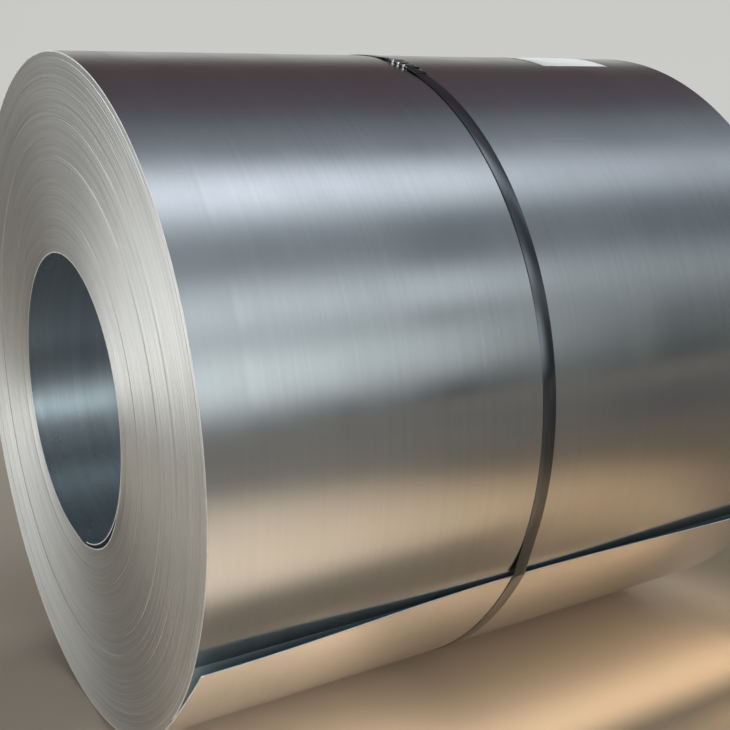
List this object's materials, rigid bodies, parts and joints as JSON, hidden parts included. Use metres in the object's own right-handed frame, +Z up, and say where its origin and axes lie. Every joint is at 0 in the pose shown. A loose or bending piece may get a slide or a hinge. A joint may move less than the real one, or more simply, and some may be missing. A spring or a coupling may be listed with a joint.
{
  "type": "steel coil",
  "caption": "Coil of cold-rolled steel strip lying on its side, bound round its girth by one steel strap, with a loose outer tail and a blank paper label.",
  "frame": {"origin": "middle of the bore, on its axis", "axes": "+X along the bore's axis, away from the end that the picture shows, +Z up, front at -Y where the outer tail stands off"},
  "size_m": [1.2031, 1.1696, 1.1712],
  "materials": {
    "strip_steel": "satin, cold-rolled",
    "strap_steel": "blued and lacquered",
    "label_paper": "matt"
  },
  "bodies": {
    "root": {"coil": "strip_steel", "strap": "strap_steel", "seal": "strap_steel", "label": "label_paper"}
  },
  "joints": []
}
